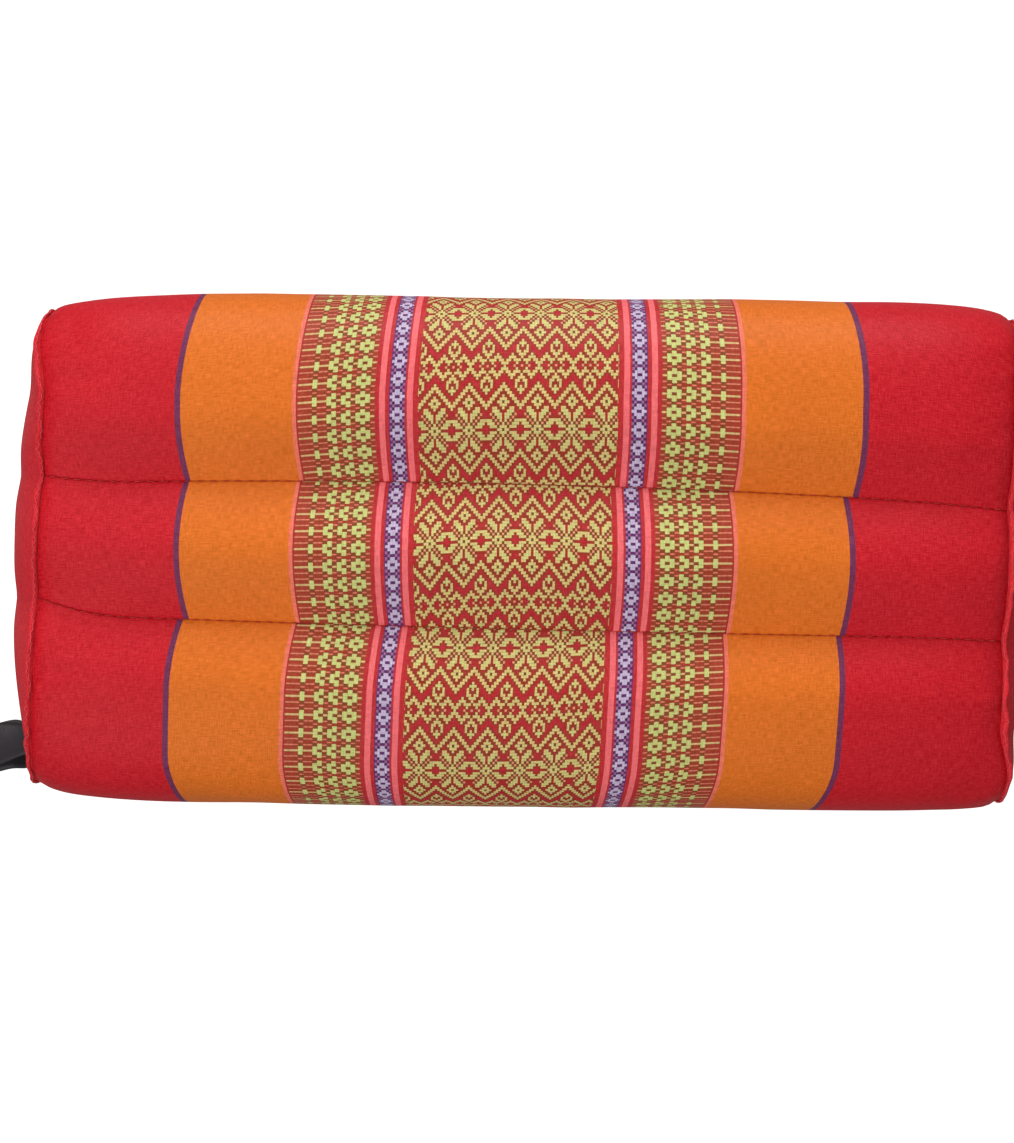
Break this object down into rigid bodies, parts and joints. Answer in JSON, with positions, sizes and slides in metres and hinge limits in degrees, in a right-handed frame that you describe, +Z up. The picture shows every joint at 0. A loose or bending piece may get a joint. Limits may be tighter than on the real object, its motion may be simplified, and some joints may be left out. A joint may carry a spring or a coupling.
{
  "type": "block cushion",
  "caption": "Firm rectangular floor cushion: a wrapped, figured cover stitched into long channels, closed by crowned end panels, with a folded ribbon in one seam.",
  "frame": {"origin": "middle of the underside, on the surface that the cushion lies on, the ribbon not counted", "axes": "+X along the cushion, away from the ribbon; +Y across its patterned face; +Z up out of that face"},
  "size_m": [0.3846, 0.1775, 0.1199],
  "materials": {
    "striped_cotton": "matte plain weave with figured bands",
    "red_cotton": "matte plain weave",
    "black_ribbon": "smooth satin ribbon"
  },
  "bodies": {
    "root": {"body": "striped_cotton", "end_panel_left": "red_cotton", "end_panel_right": "red_cotton", "ribbon_tab": "black_ribbon"}
  },
  "joints": []
}
